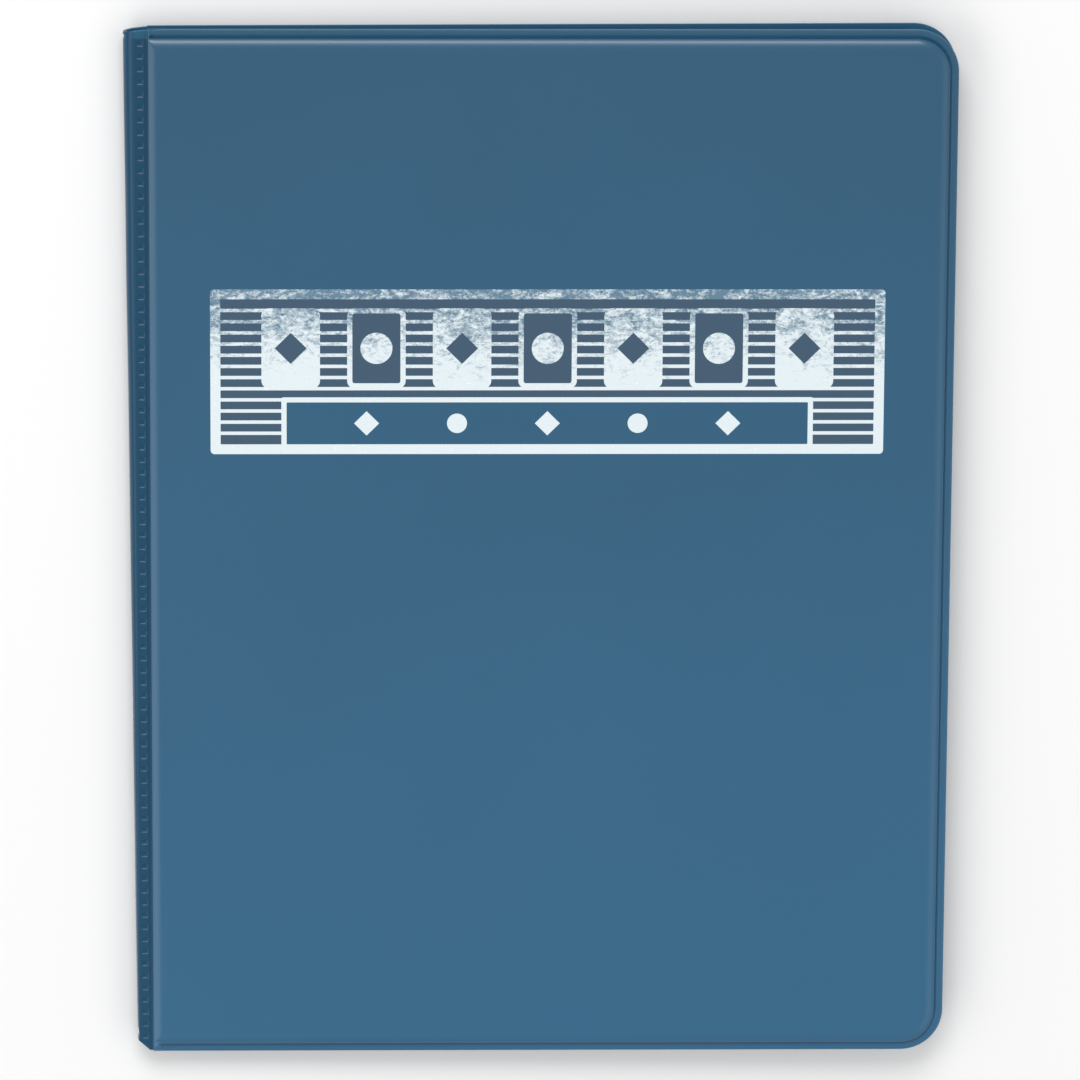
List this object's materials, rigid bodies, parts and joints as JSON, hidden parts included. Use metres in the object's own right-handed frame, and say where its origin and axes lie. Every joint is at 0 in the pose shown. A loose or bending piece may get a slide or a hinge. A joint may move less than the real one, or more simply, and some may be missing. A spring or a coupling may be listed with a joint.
{
  "type": "trading card album",
  "caption": "Padded vinyl card album: two board-stiffened covers joined by a ladder-welded spine, with clear pocket pages bound in and a foil motif on the front.",
  "frame": {"origin": "centre of the album's footprint, on the surface that the back cover lies on", "axes": "+X from the spine to the fore-edge, +Y to the head of the album, +Z out of the front cover"},
  "size_m": [0.2384, 0.3048, 0.0149],
  "materials": {
    "blue_vinyl": "semi-gloss blue vinyl",
    "blue_liner_vinyl": "satin blue vinyl",
    "greyboard": "matt greyboard",
    "page_film": "clear polypropylene film",
    "pocket_film": "clear glossy polypropylene film",
    "silver_foil": "hot-stamped silver foil"
  },
  "bodies": {
    "back_cover": {"back_skin": "blue_vinyl", "back_board": "greyboard", "back_liner": "blue_liner_vinyl"},
    "binding": {"spine_skin": "blue_vinyl", "spine_liner": "blue_liner_vinyl", "page_tabs": "page_film"},
    "page_01": {"page_01_sheet": "page_film", "page_01_pockets": "pocket_film"},
    "page_02": {"page_02_sheet": "page_film", "page_02_pockets": "pocket_film"},
    "page_03": {"page_03_sheet": "page_film", "page_03_pockets": "pocket_film"},
    "page_04": {"page_04_sheet": "page_film", "page_04_pockets": "pocket_film"},
    "page_05": {"page_05_sheet": "page_film", "page_05_pockets": "pocket_film"},
    "page_06": {"page_06_sheet": "page_film", "page_06_pockets": "pocket_film"},
    "page_07": {"page_07_sheet": "page_film", "page_07_pockets": "pocket_film"},
    "page_08": {"page_08_sheet": "page_film", "page_08_pockets": "pocket_film"},
    "page_09": {"page_09_sheet": "page_film", "page_09_pockets": "pocket_film"},
    "page_10": {"page_10_sheet": "page_film", "page_10_pockets": "pocket_film"},
    "front_cover": {"front_skin": "blue_vinyl", "front_board": "greyboard", "front_liner": "blue_liner_vinyl", "foil_stamp": "silver_foil"}
  },
  "joints": [
    {"name": "back_hinge", "type": "hinge", "parent": "back_cover", "child": "binding", "pos_m": [-0.11275, 0, 0.0007], "axis": [0, 1, 0], "range_deg": [-90, 0]},
    {"name": "front_hinge", "type": "hinge", "parent": "binding", "child": "front_cover", "pos_m": [-0.11275, 0, 0.0097], "axis": [0, -1, 0], "range_deg": [0, 180]},
    {"name": "page_01_turn", "type": "hinge", "parent": "binding", "child": "page_01", "pos_m": [-0.11275, 0, 0.0097], "axis": [0, -1, 0], "range_deg": [0, 164.1]},
    {"name": "page_02_turn", "type": "hinge", "parent": "binding", "child": "page_02", "pos_m": [-0.11275, 0, 0.0097], "axis": [0, -1, 0], "range_deg": [0, 147.8]},
    {"name": "page_03_turn", "type": "hinge", "parent": "binding", "child": "page_03", "pos_m": [-0.11275, 0, 0.0097], "axis": [0, -1, 0], "range_deg": [0, 131.4]},
    {"name": "page_04_turn", "type": "hinge", "parent": "binding", "child": "page_04", "pos_m": [-0.11275, 0, 0.0097], "axis": [0, -1, 0], "range_deg": [0, 115]},
    {"name": "page_05_turn", "type": "hinge", "parent": "binding", "child": "page_05", "pos_m": [-0.11275, 0, 0.0097], "axis": [0, -1, 0], "range_deg": [0, 98.7]},
    {"name": "page_06_turn", "type": "hinge", "parent": "binding", "child": "page_06", "pos_m": [-0.11275, 0, 0.0097], "axis": [0, -1, 0], "range_deg": [0, 82.3]},
    {"name": "page_07_turn", "type": "hinge", "parent": "binding", "child": "page_07", "pos_m": [-0.11275, 0, 0.0097], "axis": [0, -1, 0], "range_deg": [0, 66]},
    {"name": "page_08_turn", "type": "hinge", "parent": "binding", "child": "page_08", "pos_m": [-0.11275, 0, 0.0097], "axis": [0, -1, 0], "range_deg": [0, 49.6]},
    {"name": "page_09_turn", "type": "hinge", "parent": "binding", "child": "page_09", "pos_m": [-0.11275, 0, 0.0097], "axis": [0, -1, 0], "range_deg": [0, 33.2]},
    {"name": "page_10_turn", "type": "hinge", "parent": "binding", "child": "page_10", "pos_m": [-0.11275, 0, 0.0097], "axis": [0, -1, 0], "range_deg": [0, 16.9]}
  ],
  "couplings": [
    {"joint": "page_01_turn", "follows": "front_hinge", "ratio": 0.90909},
    {"joint": "page_02_turn", "follows": "front_hinge", "ratio": 0.81818},
    {"joint": "page_03_turn", "follows": "front_hinge", "ratio": 0.72727},
    {"joint": "page_04_turn", "follows": "front_hinge", "ratio": 0.63636},
    {"joint": "page_05_turn", "follows": "front_hinge", "ratio": 0.54546},
    {"joint": "page_06_turn", "follows": "front_hinge", "ratio": 0.45454},
    {"joint": "page_07_turn", "follows": "front_hinge", "ratio": 0.36364},
    {"joint": "page_08_turn", "follows": "front_hinge", "ratio": 0.27273},
    {"joint": "page_09_turn", "follows": "front_hinge", "ratio": 0.18182},
    {"joint": "page_10_turn", "follows": "front_hinge", "ratio": 0.090909}
  ]
}
